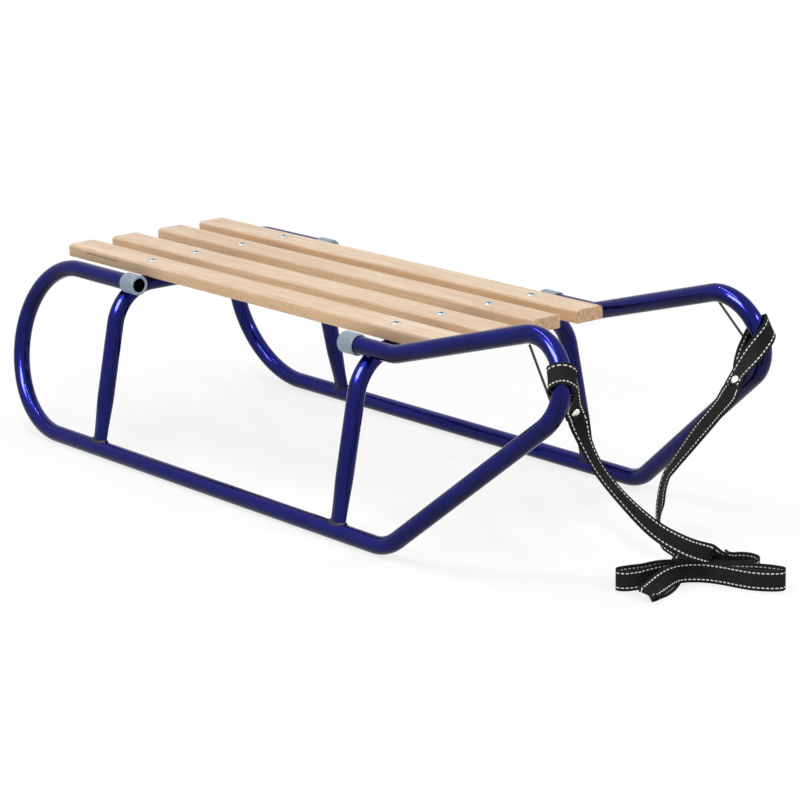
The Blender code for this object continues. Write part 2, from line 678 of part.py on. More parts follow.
BLUE = make_material("blue gloss paint", (0.012, 0.014, 0.16), 0.12, coat=1.0)
SLEEVE_GREY = make_material("grey plastic", (0.42, 0.50, 0.54), 0.45)
BEECH = make_material("beech", (0.80, 0.62, 0.46), 0.45)
ZINC = make_material("zinc plated steel", (0.62, 0.68, 0.70), 0.30, metallic=1.0)
WIRE_BLACK = make_material("black wire", (0.01, 0.01, 0.012), 0.40)
WEBBING = make_material("black webbing", (0.008, 0.008, 0.008), 0.85)
NICKEL = make_material("nickel plated rivet", (0.80, 0.76, 0.70), 0.25, metallic=1.0)

for runner_side, runner_name in SIDES:
    build_runner(runner_side, "runner_" + runner_name)
    build_nose_wire(runner_side, "nose_wire_" + runner_name)
build_arch("arch_rear", REAR_ARCH_X)
build_arch("arch_front", FRONT_ARCH_X)
build_sleeves()
build_slats()
build_screws()
build_strap_side(-1, "right", RIGHT_RIVET_OFFSET, RIGHT_RUN, RIGHT_END)
build_strap_side(1, "left", LEFT_RIVET_OFFSET, LEFT_RUN, LEFT_END)
build_pile()
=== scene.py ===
"""Looks for a metal sled: painted tube runners, beech deck and a stitched webbing strap."""
import math

import bmesh
import bpy
from mathutils import Matrix, Vector


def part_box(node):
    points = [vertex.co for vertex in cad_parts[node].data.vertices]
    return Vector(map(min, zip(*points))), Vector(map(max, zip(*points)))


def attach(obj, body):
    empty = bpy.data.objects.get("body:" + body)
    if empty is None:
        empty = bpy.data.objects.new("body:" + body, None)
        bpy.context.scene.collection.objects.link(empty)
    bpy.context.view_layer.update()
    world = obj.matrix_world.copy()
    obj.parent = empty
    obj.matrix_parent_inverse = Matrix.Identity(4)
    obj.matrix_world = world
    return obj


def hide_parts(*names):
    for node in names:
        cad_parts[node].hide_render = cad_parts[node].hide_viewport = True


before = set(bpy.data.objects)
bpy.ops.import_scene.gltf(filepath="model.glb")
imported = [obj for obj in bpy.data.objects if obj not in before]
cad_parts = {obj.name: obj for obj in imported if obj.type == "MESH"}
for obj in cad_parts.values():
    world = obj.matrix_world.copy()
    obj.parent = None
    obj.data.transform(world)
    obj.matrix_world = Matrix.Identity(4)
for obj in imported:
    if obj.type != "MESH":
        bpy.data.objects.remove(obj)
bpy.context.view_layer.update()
bpy.context.scene.view_settings.view_transform = "Standard"


# Camera
# A long lens looks at the front right corner of the sled from a little above the deck.
YAW, PITCH, ROLL = math.radians(50.16), math.radians(14.85), math.radians(-0.991)
FOCAL_PIXELS, FRAME_PIXELS, SENSOR = 2893.18, 800, 36.0
toward = Vector((-math.sin(YAW) * math.cos(PITCH), math.cos(YAW) * math.cos(PITCH), -math.sin(PITCH)))
level = toward.cross(Vector((0, 0, 1))).normalized()
upright = level.cross(toward)
right_hand = level * math.cos(ROLL) + upright * math.sin(ROLL)
up_hand = upright * math.cos(ROLL) - level * math.sin(ROLL)
lens = bpy.data.cameras.new("camera")
lens.sensor_width = SENSOR
lens.lens = SENSOR * FOCAL_PIXELS / FRAME_PIXELS
lens.clip_end = 30
camera = bpy.data.objects.new("camera", lens)
bpy.context.scene.collection.objects.link(camera)
turn = Matrix((right_hand, up_hand, -toward)).transposed().to_4x4()
camera.matrix_world = Matrix.Translation((2.2550, -1.8423, 0.8526)) @ turn
bpy.context.scene.camera = camera


# Pull strap
# One band of black polyester webbing, 20 mm wide, with a white lockstitch along both edges. Each end is
# folded round a nose tube, laid back on itself and riveted; the middle lies folded on the ground.
def sock(value):
    """The socket behind a Shade; any other value as it is."""
    return value.socket if isinstance(value, Shade) else value


class Shade:
    """A shader socket that adds Math nodes when it is used in an expression."""

    def __init__(self, tree, socket):
        self.tree, self.socket = tree, socket

    def node(self, kind, inputs=(), out=0, **settings):
        made = self.tree.nodes.new(kind)
        for name, value in settings.items():
            setattr(made, name, value)
        for key, value in dict(inputs).items():
            value = sock(value)
            if isinstance(value, bpy.types.NodeSocket):
                self.tree.links.new(value, made.inputs[key])
            else:
                made.inputs[key].default_value = value
        return Shade(self.tree, made.outputs[out])

    def maths(self, operation, *values):
        return self.node("ShaderNodeMath", dict(enumerate(values)), operation=operation)

    def __add__(self, other):
        return self.maths("ADD", self, other)

    def __sub__(self, other):
        return self.maths("SUBTRACT", self, other)

    def __mul__(self, other):
        return self.maths("MULTIPLY", self, other)

    def __truediv__(self, other):
        return self.maths("DIVIDE", self, other)

    def __lt__(self, other):
        return self.maths("LESS_THAN", self, other)

    def __gt__(self, other):
        return self.maths("GREATER_THAN", self, other)

    def wave(self):
        return self.maths("SINE", self)

    def part(self):
        return self.maths("FRACT", self)

    def size(self):
        return self.maths("ABSOLUTE", self)

    def smooth(self, low, high):
        return self.node("ShaderNodeMapRange", {"Value": self, "From Min": low, "From Max": high},
                         interpolation_type="SMOOTHSTEP")

    def noise(self, scale, detail=2.0, roughness=0.5):
        return self.node("ShaderNodeTexNoise", {"Vector": self, "Scale": scale, "Detail": detail,
                                                "Roughness": roughness})

    def stretch(self, scale, rotation=(0, 0, 0)):
        return self.node("ShaderNodeMapping", {"Vector": self, "Scale": scale, "Rotation": rotation})

    def axes(self):
        split = self.node("ShaderNodeSeparateXYZ", {"Vector": self}).socket.node
        return [Shade(self.tree, output) for output in split.outputs]

    def mix(self, first, second):
        return self.node("ShaderNodeMix", {"Factor": self, 6: first, 7: second}, out=2, data_type="RGBA")

    def bump(self, distance, strength=1.0):
        return self.node("ShaderNodeBump", {"Height": self, "Distance": distance, "Strength": strength})


def finish(name, **plain):
    """A new material and its object coordinates; plain values go on the shader's own sockets."""
    material = bpy.data.materials.new(name)
    material.use_nodes = True
    shader = material.node_tree.nodes["Principled BSDF"]
    for key, value in plain.items():
        shader.inputs[key.replace("_", " ")].default_value = value
    coordinates = material.node_tree.nodes.new("ShaderNodeTexCoord")
    return material, shader, Shade(material.node_tree, coordinates.outputs["Object"])


def feed(shader, key, value):
    """Link a Shade to an input of a shader node."""
    shader.id_data.links.new(sock(value), shader.inputs[key])


STRAP_WIDTH, STRAP_THICKNESS = 0.020, 0.0016
BAND_SHARES = (0, 0.08, 0.5, 0.92, 1)
GROUND_CLEARANCE = 0.0003
LOOP_RISE, LOOP_CREST, LOOP_CLEARANCE, LOOP_HALF_BAND = 0.001, 0.018, 0.0024, 0.0009
RIVET_LAYER, RIVET_FLAT, CUT_TAIL, FREE_FLAT = 0.0014, 0.007, 0.006, 0.010
SAMPLE_SPACING, CORD_SPACING = 0.0012, 0.012
NOSE_RADIUS, NOSE_ANGLE, TUBE_RADIUS = 0.046, math.radians(20), 0.009
LEAN, TRACK, RISE = math.radians(11.8), 0.338, 0.1828
REAR_ARCH, FRONT_ARCH = -0.257688, 0.150312
CORNER_AHEAD, DIAGONAL = 0.0752, math.radians(39.3)
SHOULDER_AHEAD, SHOULDER = 0.0472, math.radians(16)


def in_runner(side, along, up):
    """A point in the leaning plane of a runner; side is -1 for right and 1 for left."""
    return Vector((along, side * (TRACK / 2 - up * math.sin(LEAN)), TUBE_RADIUS + up * math.cos(LEAN)))


rise_slope, climb_slope = math.tan(SHOULDER), math.tan(DIAGONAL)
shoulder_x, corner_x = FRONT_ARCH + SHOULDER_AHEAD, FRONT_ARCH + CORNER_AHEAD
nose_tip_x = (RISE - rise_slope * shoulder_x + climb_slope * corner_x) / (climb_slope - rise_slope)
nose_tip_up = climb_slope * (nose_tip_x - corner_x)
nose_reach = NOSE_RADIUS / math.sin((DIAGONAL - SHOULDER) / 2)
nose_x = nose_tip_x - nose_reach * math.cos((DIAGONAL + SHOULDER) / 2)
nose_up = nose_tip_up - nose_reach * math.sin((DIAGONAL + SHOULDER) / 2)


def on_nose(side, angle, radius):
    """A point at an angle and radius from the middle of a nose bend."""
    return in_runner(side, nose_x + radius * math.cos(angle), nose_up + radius * math.sin(angle))


def turned_band(along, turn):
    """The direction across a band that runs along, turned out of the camera's plane by an angle."""
    along = along.normalized()
    flat = along.cross(toward).normalized()
    away = (toward - along * toward.dot(along)).normalized()
    return (flat if flat.z > 0 else -flat) * math.cos(turn) + away * math.sin(turn)


def loop_route(side, rivet, turn):
    """Stops of the riveted loop, from its cut end round the nose tube and back over the rivet."""
    centre = on_nose(side, NOSE_ANGLE, NOSE_RADIUS)
    tube_line = (on_nose(side, NOSE_ANGLE + 0.01, NOSE_RADIUS) - centre).normalized()
    bend_axis = tube_line.cross(on_nose(side, NOSE_ANGLE, 0) - centre).normalized()
    offset = rivet - centre
    drop = offset.dot(tube_line)
    outward = offset - tube_line * drop
    reach = outward.length
    outward.normalize()
    through = tube_line.cross(outward)
    wrap = TUBE_RADIUS + LOOP_CLEARANCE + LOOP_HALF_BAND
    leave = math.acos(wrap / reach)
    straight = math.sqrt(reach ** 2 - wrap ** 2)
    half = (math.pi - leave) * wrap + straight
    slope = (LOOP_RISE - drop) / (math.hypot(half, LOOP_CREST) - LOOP_CREST)

    def lift(distance):
        return LOOP_RISE - slope * (math.hypot(distance, LOOP_CREST) - LOOP_CREST)

    pull = (tube_line * (lift(half) - lift(half - straight)) + outward * straight).normalized()
    band = turned_band(pull, turn)
    if band.dot(through.cross(-pull)) < 0:
        band = -band
    face = (-pull).cross(band)
    near, far = rivet + face * RIVET_LAYER, rivet - face * RIVET_LAYER
    stops = [(near + pull * CUT_TAIL, None), (near, None), (near - pull * RIVET_FLAT, None)]
    pieces = max(8, round(2 * (math.pi - leave) / math.radians(22)))
    for step in range(pieces + 1):
        angle = leave + 2 * (math.pi - leave) * step / pieces
        radial = outward * math.cos(angle) + through * math.sin(angle)
        height = lift((angle - math.pi) * wrap)
        here = on_nose(side, NOSE_ANGLE + height / NOSE_RADIUS, NOSE_RADIUS)
        turned = Matrix.Rotation(height / NOSE_RADIUS, 3, bend_axis) @ radial
        stops.append((here + turned * wrap, turned))
    stops += [(far - pull * RIVET_FLAT, None), (far, None), (far + pull * FREE_FLAT, None)]
    route = []
    for index, (point, radial) in enumerate(stops):
        along = stops[min(index + 1, len(stops) - 1)][0] - stops[max(index - 1, 0)][0]
        route.append((point, radial.cross(along.normalized()).normalized() if radial else band))
    return route, face


def smooth_route(stops, spacing):
    """Even samples along a smooth curve through the stops: the point and the direction across."""
    knots = [0.0]
    for first, second in zip(stops, stops[1:]):
        knots.append(knots[-1] + (second[0] - first[0]).length)

    def slope(index, part):
        before, after = max(index - 1, 0), min(index + 1, len(stops) - 1)
        return (stops[after][part] - stops[before][part]) / (knots[after] - knots[before])

    samples = []
    for index in range(len(stops) - 1):
        span = knots[index + 1] - knots[index]
        pieces = max(1, round(span / spacing))
        for step in range(pieces):
            share = step / pieces
            left = 1 - share
            samples.append(tuple(
                stops[index][part] * ((1 + 2 * share) * left ** 2)
                + stops[index + 1][part] * ((3 - 2 * share) * share ** 2)
                + slope(index, part) * (span * share * left ** 2)
                - slope(index + 1, part) * (span * left * share ** 2) for part in (0, 1)))
    samples.append(stops[-1])
    return samples


right_rivet = on_nose(-1, NOSE_ANGLE, NOSE_RADIUS) + Vector((-0.0122, 0.0271, -0.0405))
left_rivet = on_nose(1, NOSE_ANGLE, NOSE_RADIUS) + Vector((0.0021, -0.0316, -0.0435))
right_loop, right_through = loop_route(-1, right_rivet, math.radians(15))
left_loop, left_through = loop_route(1, left_rivet, math.radians(55))
UP, FLAP = (0.0, 0.0, 1.0), (-0.87, 0.28, 0.40)
right_run = [
    ((0.4204, -0.0947, 0.1421), 46), ((0.4311, -0.0863, 0.1146), 56), ((0.4465, -0.0709, 0.0863), 55),
    ((0.4647, -0.0480, 0.0568), 38), ((0.4807, -0.0260, 0.0396), 22), ((0.4872, -0.0029, 0.0290), 4),
    ((0.4880, 0.0075, 0.0268), (0.94, 0.20, 0.28)),
]
pile_run = [
    ((0.4840, 0.0215, 0.0165), UP), ((0.4840, 0.0320, 0.0118), UP), ((0.4870, 0.0400, 0.0108), UP),
    ((0.4945, 0.0455, 0.0108), UP), ((0.5040, 0.0460, 0.0108), UP), ((0.5115, 0.0415, 0.0108), UP),
    ((0.5140, 0.0340, 0.0108), UP), ((0.5100, 0.0260, 0.0108), UP), ((0.5025, 0.0180, 0.0110), UP),
    ((0.4930, 0.0085, 0.0116), UP), ((0.4835, 0.0015, 0.0122), UP), ((0.4730, -0.0090, 0.0124), UP),
    ((0.4650, -0.0220, 0.0124), UP), ((0.4570, -0.0360, 0.0126), UP), ((0.4500, -0.0520, 0.0110), UP),
    ((0.4445, -0.0660, 0.0108), UP), ((0.4430, -0.0745, 0.0108), UP), ((0.4475, -0.0790, 0.0108), UP),
    ((0.4545, -0.0750, 0.0108), UP), ((0.4590, -0.0650, 0.0108), UP), ((0.4620, -0.0540, 0.0120), UP),
    ((0.4650, -0.0420, 0.0127), UP), ((0.4685, -0.0295, 0.0127), UP), ((0.4730, -0.0165, 0.0124), UP),
    ((0.4800, -0.0065, 0.0122), UP), ((0.4890, 0.0015, 0.0116), UP), ((0.5000, 0.0085, 0.0110), UP),
    ((0.5100, 0.0165, 0.0108), UP), ((0.5220, 0.0270, 0.0108), UP), ((0.5360, 0.0350, 0.0108), UP),
    ((0.5465, 0.0375, 0.0108), UP), ((0.5510, 0.0315, 0.0108), UP), ((0.5480, 0.0245, 0.0108), UP),
    ((0.5400, 0.0170, 0.0108), UP), ((0.5295, 0.0105, 0.0108), UP), ((0.5170, 0.0065, 0.0108), UP),
    ((0.5030, 0.0030, 0.0108), UP), ((0.4890, -0.0030, 0.0112), UP), ((0.4790, -0.0130, 0.0116), UP),
    ((0.4745, -0.0250, 0.0122), UP), ((0.4755, -0.0380, 0.0122), (-0.30, 0.10, 0.94)),
    ((0.4780, -0.0500, 0.0110), (-0.60, 0.15, 0.76)), ((0.4810, -0.0610, 0.0094), (-0.80, 0.22, 0.54)),
    ((0.4834, -0.0700, 0.0082), FLAP), ((0.4846, -0.0754, 0.0076), FLAP), ((0.4848, -0.0766, 0.0071), FLAP),
    ((0.4849, -0.0771, 0.0059), FLAP), ((0.4846, -0.0766, 0.0047), FLAP), ((0.4842, -0.0754, 0.0042), FLAP),
    ((0.4824, -0.0690, 0.0046), (-0.87, 0.28, 0.38)), ((0.4800, -0.0580, 0.0030), (-0.95, 0.10, 0.18)),
    ((0.4750, -0.0460, 0.0014), (-0.95, -0.25, 0.02)), ((0.4690, -0.0350, 0.0010), (-0.88, -0.46, 0)),
    ((0.4600, -0.0210, 0.0010), (-0.84, -0.54, 0)), ((0.4520, -0.0080, 0.0016), (-0.80, -0.58, 0.08)),
    ((0.4470, 0.0030, 0.0050), (-0.70, -0.55, 0.42)),
]
left_run = [
    ((0.4390, 0.0150, 0.0090), (-0.40, -0.40, 0.82)),
    ((0.4280, 0.0240, 0.0108), UP), ((0.4150, 0.0280, 0.0118), UP),
    ((0.3975, 0.0300, 0.0160), UP), ((0.3789, 0.0440, 0.0200), UP), ((0.3640, 0.0600, 0.0310), 78),
    ((0.3545, 0.0720, 0.0440), 77), ((0.3510, 0.0820, 0.0585), 75), ((0.3573, 0.0860, 0.0698), 70),
    ((0.3674, 0.0900, 0.0852), 62), ((0.3833, 0.0945, 0.1076), 50), ((0.4029, 0.0980, 0.1316), 52),
]
stops = list(right_loop)
free_run = right_run + pile_run + left_run
for index, (point, across) in enumerate(free_run):
    point = Vector(point)
    if isinstance(across, (int, float)):
        ahead = Vector(free_run[index + 1][0]) if index + 1 < len(free_run) else left_rivet
        behind = Vector(free_run[index - 1][0]) if index else right_rivet
        across = turned_band(ahead - behind, math.radians(across))
    across = Vector(across).normalized()
    stops.append((point, across if across.dot(stops[-1][1]) > 0 else -across))
for point, across in reversed(left_loop):
    stops.append((point, across if across.dot(stops[-1][1]) > 0 else -across))
samples = smooth_route(stops, SAMPLE_SPACING)
webbing_shape = bmesh.new()
uv_layer = webbing_shape.loops.layers.uv.new("webbing")
rows, travelled = [], 0.0
for index, (point, across) in enumerate(samples):
    along = samples[min(index + 1, len(samples) - 1)][0] - samples[max(index - 1, 0)][0]
    if rows:
        travelled += (point - samples[index - 1][0]).length
    across = (across - along * (across.dot(along) / along.length_squared)).normalized()
    below = STRAP_THICKNESS / 2 + GROUND_CLEARANCE - (point.z - abs(across.z) * STRAP_WIDTH / 2)
    if below > 0:
        point = point + Vector((0, 0, below))
    row = [webbing_shape.verts.new(point + across * (STRAP_WIDTH * (share - 0.5))) for share in BAND_SHARES]
    rows.append((row, travelled))
for (first, start), (second, end) in zip(rows, rows[1:]):
    for column, (near_share, far_share) in enumerate(zip(BAND_SHARES, BAND_SHARES[1:])):
        face = webbing_shape.faces.new((first[column], first[column + 1], second[column + 1], second[column]))
        face.smooth = True
        corners = ((start, near_share), (start, far_share), (end, far_share), (end, near_share))
        for loop, (down, over) in zip(face.loops, corners):
            loop[uv_layer].uv = (down, over * STRAP_WIDTH)
webbing_mesh = bpy.data.meshes.new("pull_strap")
webbing_shape.to_mesh(webbing_mesh)
webbing_shape.free()
pull_strap = bpy.data.objects.new("pull_strap", webbing_mesh)
bpy.context.scene.collection.objects.link(pull_strap)
wall = pull_strap.modifiers.new("thickness", "SOLIDIFY")
wall.thickness, wall.offset = STRAP_THICKNESS, 0.0

webbing, shader, place = finish("black webbing", Roughness=0.85, Specular_IOR_Level=0.12)
uv = webbing.node_tree.nodes.new("ShaderNodeUVMap")
uv.uv_map = "webbing"
down, over, _ = Shade(webbing.node_tree, uv.outputs["UV"]).axes()
STITCH_FROM_MIDDLE, STITCH_HALF_WIDTH, STITCH_PITCH, STITCH_SHARE = 0.0070, 0.00055, 0.0042, 0.62
from_middle = (over - STRAP_WIDTH / 2).size()
in_line = (from_middle - STITCH_FROM_MIDDLE).size() < STITCH_HALF_WIDTH
in_dash = (down / STITCH_PITCH).part() < STITCH_SHARE
stitch = in_line * in_dash
RIB_PITCH, YARN_PITCH = 0.0016, 0.0011
rib = ((down * (2 * math.pi / RIB_PITCH)) + (over * (2 * math.pi / YARN_PITCH)).wave() * 1.2).wave()
cloth = place.noise(160, 3)
black = cloth.mix((0.003, 0.003, 0.0035, 1), (0.013, 0.013, 0.014, 1))
feed(shader, "Base Color", stitch.mix(black, (0.75, 0.75, 0.73, 1)))
feed(shader, "Normal", (rib * 0.25 + stitch * 1.5).bump(0.0003, 0.7))
pull_strap.data.materials.append(webbing)
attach(pull_strap, "root")
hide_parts("strap_right", "strap_left", "strap_pile")


# Rivets
# A pale nickel-plated tubular rivet with a low domed head closes each strap loop.
rivets = []
for side_name, rivet, through in (("right", right_rivet, right_through), ("left", left_rivet, left_through)):
    bpy.ops.object.select_all(action="DESELECT")
    bpy.ops.mesh.primitive_uv_sphere_add(segments=32, ring_count=16, radius=0.0044)
    head = bpy.context.object
    head.name = "strap_rivet_" + side_name
    flat = Matrix.Diagonal((1, 1, 0.40, 1))
    aim = through.to_track_quat("Z", "Y").to_matrix().to_4x4()
    head.data.transform(flat)
    shape = bmesh.new()
    for lift in (0.0020, -0.0020):
        start = len(shape.verts)
        shape.from_mesh(head.data)
        shape.verts.ensure_lookup_table()
        bmesh.ops.translate(shape, verts=shape.verts[start:], vec=(0, 0, lift))
    shape.to_mesh(head.data)
    shape.free()
    head.data.transform(Matrix.Translation(rivet) @ aim)
    head.matrix_world = Matrix.Identity(4)
    head.data.shade_smooth()
    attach(head, "root")
    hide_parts("rivet_" + side_name)
    rivets.append(head)
nickel, shader, place = finish("nickel plate", Metallic=1.0, Base_Color=(0.86, 0.83, 0.78, 1))
feed(shader, "Roughness", place.noise(400, 3) * 0.25 + 0.16)
for head in rivets:
    head.data.materials.append(nickel)
centre_line = [tuple(point) for point, across in smooth_route(stops, CORD_SPACING)]


# Runners
# Each runner is one 18 mm steel tube, bent to a rear loop, a front corner and a tight nose, with its two
# open ends facing each other. The paint is a deep candy blue over bright metal, under clear gloss.
TUBE_SIDES = 48


def bend_tube(name, start, heading, route):
    """A round tube with closed ends that starts as a circle and is extruded and spun along its route.

    The route holds a vector for each straight, and (bend centre, bend axis, angle) for each bend.
    """
    bpy.ops.object.select_all(action="DESELECT")
    bpy.ops.mesh.primitive_circle_add(vertices=TUBE_SIDES, radius=TUBE_RADIUS, fill_type="NOTHING")
    tube = bpy.context.object
    tube.name = tube.data.name = name
    tube.data.transform(Matrix.Translation(start) @ heading.to_track_quat("Z", "Y").to_matrix().to_4x4())
    bpy.ops.object.mode_set(mode="EDIT")
    bpy.ops.mesh.select_all(action="SELECT")
    for step in route:
        if isinstance(step, Vector):
            bpy.ops.mesh.extrude_region_move(TRANSFORM_OT_translate={"value": step})
        else:
            centre, axis, angle = step
            pieces = max(8, round(angle / math.radians(3)))
            bpy.ops.mesh.spin(steps=pieces, angle=angle, center=centre, axis=axis)
    bpy.ops.mesh.select_all(action="DESELECT")
    bpy.ops.mesh.select_mode(type="EDGE")
    bpy.ops.mesh.select_non_manifold()
    bpy.ops.mesh.edge_face_add()
    bpy.ops.mesh.select_all(action="SELECT")
    bpy.ops.mesh.remove_doubles(threshold=1e-6)
    bpy.ops.mesh.normals_make_consistent(inside=False)
    bpy.ops.object.mode_set(mode="OBJECT")
    tube.data.shade_smooth()
    tube.data.set_sharp_from_angle(angle=math.radians(40))
    return tube


def arc(before, corner, after, radius):
    """Where a rounded corner starts and ends, its centre, its axis and its angle."""
    back, ahead = (before - corner).normalized(), (after - corner).normalized()
    half = back.angle(ahead) / 2
    centre = corner + (back + ahead).normalized() * (radius / math.sin(half))
    start = corner + back * (radius / math.tan(half))
    end = corner + ahead * (radius / math.tan(half))
    return start, end, centre, back.cross(ahead).normalized(), math.pi - 2 * half


def tube_route(corners, radii):
    """The moves along a line of corners: straight pushes and bends."""
    moves, here = [], corners[0]
    for before, corner, after, radius in zip(corners, corners[1:], corners[2:], radii):
        start, end, centre, axis, angle = arc(before, corner, after, radius)
        if (start - here).length > 1e-6:
            moves.append(start - here)
        moves.append((centre, axis, angle))
        here = end
    moves.append(corners[-1] - here)
    return moves


REAR_END_AHEAD, FRONT_END_BEHIND, REAR_BEND_BEHIND = 0.0311, 0.0243, 0.0795
SHOULDER_RADIUS, CORNER_RADIUS = 0.050, 0.052
rear_end, front_end = REAR_ARCH + REAR_END_AHEAD, FRONT_ARCH - FRONT_END_BEHIND
rear_x = REAR_ARCH - REAR_BEND_BEHIND - RISE / 2
runners = []
for side, side_name in ((-1, "right"), (1, "left")):
    corners = [in_runner(side, front_end, RISE), in_runner(side, shoulder_x, RISE),
               in_runner(side, nose_tip_x, nose_tip_up), in_runner(side, corner_x, 0),
               in_runner(side, rear_x, 0), in_runner(side, rear_x, RISE), in_runner(side, rear_end, RISE)]
    moves = tube_route(corners, (SHOULDER_RADIUS, NOSE_RADIUS, CORNER_RADIUS, RISE / 2, RISE / 2))
    runner = bend_tube("painted_runner_" + side_name, corners[0], Vector((1, 0, 0)), moves)
    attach(runner, "root")
    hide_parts("runner_" + side_name)
    runners.append(runner)

paint, shader, place = finish("candy blue enamel", Coat_Weight=1.0, Coat_Roughness=0.02, Coat_IOR=1.22,
                              Specular_IOR_Level=0.0, Specular_Tint=(0.05, 0.06, 0.40, 1))
mottle = place.noise(45, 4, 0.6)
# Painted light: darker underneath as painted shade, lengthwise streaks as painted reflections.
upward = place.node("ShaderNodeNewGeometry", out="Normal").axes()[2]
painted_reflection_streak = place.stretch((8, 150, 40)).noise(1, 3, 0.6)
painted_light_and_shade = painted_reflection_streak.smooth(0.25, 0.75) * 0.30 + upward.smooth(-0.7, 0.8) * 0.62 + 0.04
feed(shader, "Base Color", painted_light_and_shade.mix((0.001, 0.001, 0.012, 1), (0.007, 0.010, 0.18, 1)))
feed(shader, "Metallic", mottle * 0.2 + 0.8)
feed(shader, "Roughness", mottle * 0.15 + 0.13)
feed(shader, "Normal", place.noise(40, 2).bump(0.0006, 0.02))
for runner in runners:
    runner.data.materials.append(paint)


# Arches
# Two tubes bent to an inverted U carry the deck. Their feet are pressed flatter and welded on top of the
# runners' ground runs, and their shoulders are welded to the top runs.
CROSSBAR_HEIGHT, ARCH_BEND, FOOT_UP = 0.181197, 0.0495, 0.002
CROSSBAR_UP = (CROSSBAR_HEIGHT - TUBE_RADIUS) / math.cos(LEAN)
FOOT_RINGS, RING_STEP = 10, 0.006
PINCH, SPREAD, PINCH_TOP, PINCH_LENGTH = 0.40, 0.10, 0.058, 0.046
for place_name, along in (("rear", REAR_ARCH), ("front", FRONT_ARCH)):
    corners = [in_runner(-1, along, FOOT_UP), in_runner(-1, along, CROSSBAR_UP),
               in_runner(1, along, CROSSBAR_UP), in_runner(1, along, FOOT_UP)]
    moves = tube_route(corners, (ARCH_BEND, ARCH_BEND))
    rise, fall = moves[0].normalized() * RING_STEP, moves[-1].normalized() * RING_STEP
    moves = ([rise] * FOOT_RINGS + [moves[0] - rise * FOOT_RINGS] + moves[1:-1]
             + [moves[-1] - fall * FOOT_RINGS] + [fall] * FOOT_RINGS)
    arch = bend_tube("painted_arch_" + place_name, corners[0], rise.normalized(), moves)
    for side in (-1, 1):
        foot = in_runner(side, along, 0)
        leg = (in_runner(side, along, 1) - foot).normalized()
        flat = leg.cross(Vector((1, 0, 0)))
        for corner in arch.data.vertices:
            offset = corner.co - foot
            down_leg = (PINCH_TOP - offset.dot(leg)) / PINCH_LENGTH
            share = min(max(down_leg, 0), 1) if corner.co.y * side > 0 else 0
            pinch = share * share * (3 - 2 * share)
            corner.co -= flat * (offset.dot(flat) * PINCH * pinch)
            corner.co.x += offset.x * SPREAD * pinch
    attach(arch, "root")
    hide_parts("arch_" + place_name)
    arch.data.materials.append(paint)


# Deck slats
# Four planks of pale steamed beech with rounded long edges and a thin satin lacquer; the sawn ends show
# darker end grain.
beech, shader, place = finish("lacquered beech", Specular_IOR_Level=0.35)
x, y, z = place.axes()
drift = place.stretch((1.3, 14, 14)).noise(2.2, 3, 0.55)
grain = place.stretch((3.0, 130, 130)).noise(6, 5, 0.65)
pores = place.stretch((14, 620, 620)).noise(7, 3, 0.7)
flecks = place.stretch((60, 900, 900)).noise(4, 1, 0.4)
tone = drift.smooth(0.3, 0.7).mix((0.66, 0.50, 0.355, 1), (0.78, 0.63, 0.485, 1))
# Painted shade: sides and undersides darker than the top, darker still on the left slats.
painted_shade_flank = drift.smooth(0.3, 0.7).mix((0.60, 0.385, 0.215, 1), (0.72, 0.51, 0.31, 1))
painted_shade_flank = (y.smooth(0.0, 0.08) * 0.6).mix(painted_shade_flank, (0.64, 0.34, 0.15, 1))
tone = z.smooth(0.2012, 0.2042).mix(painted_shade_flank, tone)
tone = (grain.smooth(0.40, 0.66) * 0.8).mix(tone, (0.52, 0.345, 0.205, 1))
tone = (pores.smooth(0.57, 0.70) * 0.6).mix(tone, (0.34, 0.195, 0.105, 1))
tone = (flecks.smooth(0.64, 0.74) * 0.5).mix(tone, (0.26, 0.135, 0.065, 1))
rings = place.stretch((1, 420, 90), rotation=(0.7, 0, 0)).noise(3, 4, 0.6)
sawn = rings.smooth(0.35, 0.65).mix((0.70, 0.48, 0.30, 1), (0.36, 0.20, 0.10, 1))
DECK_REAR, DECK_FRONT = -0.3922, 0.2350
tone = ((x > DECK_FRONT) + (x < DECK_REAR)).mix(tone, sawn)
SPLIT_REAR, SPLIT_FRONT, SPLIT_HEIGHT, SPLIT_HALF_WIDTH, NEAR_SIDE = -0.358, -0.300, 0.1957, 0.00035, -0.1066
waver = place.stretch((90, 1, 1)).noise(1, 3) * 0.0016
split = (z + waver + x * 0.012 - SPLIT_HEIGHT).size() < SPLIT_HALF_WIDTH
split = split * (x > SPLIT_REAR) * (x < SPLIT_FRONT) * (y < NEAR_SIDE)
tone = split.mix(tone, (0.05, 0.028, 0.018, 1))
feed(shader, "Base Color", tone)
feed(shader, "Roughness", grain * 0.2 + 0.42)
feed(shader, "Normal", (grain * 0.6 + pores * 0.4).bump(0.0004, 0.35))
HOLE_RADIUS, HOLE_DEPTH = 0.0057, 0.004


def cut(piece, tool, label):
    """Cut the tool's shape out of a piece and remove the tool."""
    bpy.ops.object.select_all(action="DESELECT")
    piece.select_set(True)
    bpy.context.view_layer.objects.active = piece
    made = piece.modifiers.new(label, "BOOLEAN")
    made.object, made.operation, made.solver = tool, "DIFFERENCE", "EXACT"
    bpy.ops.object.modifier_apply(modifier=made.name)
    bpy.data.objects.remove(tool)


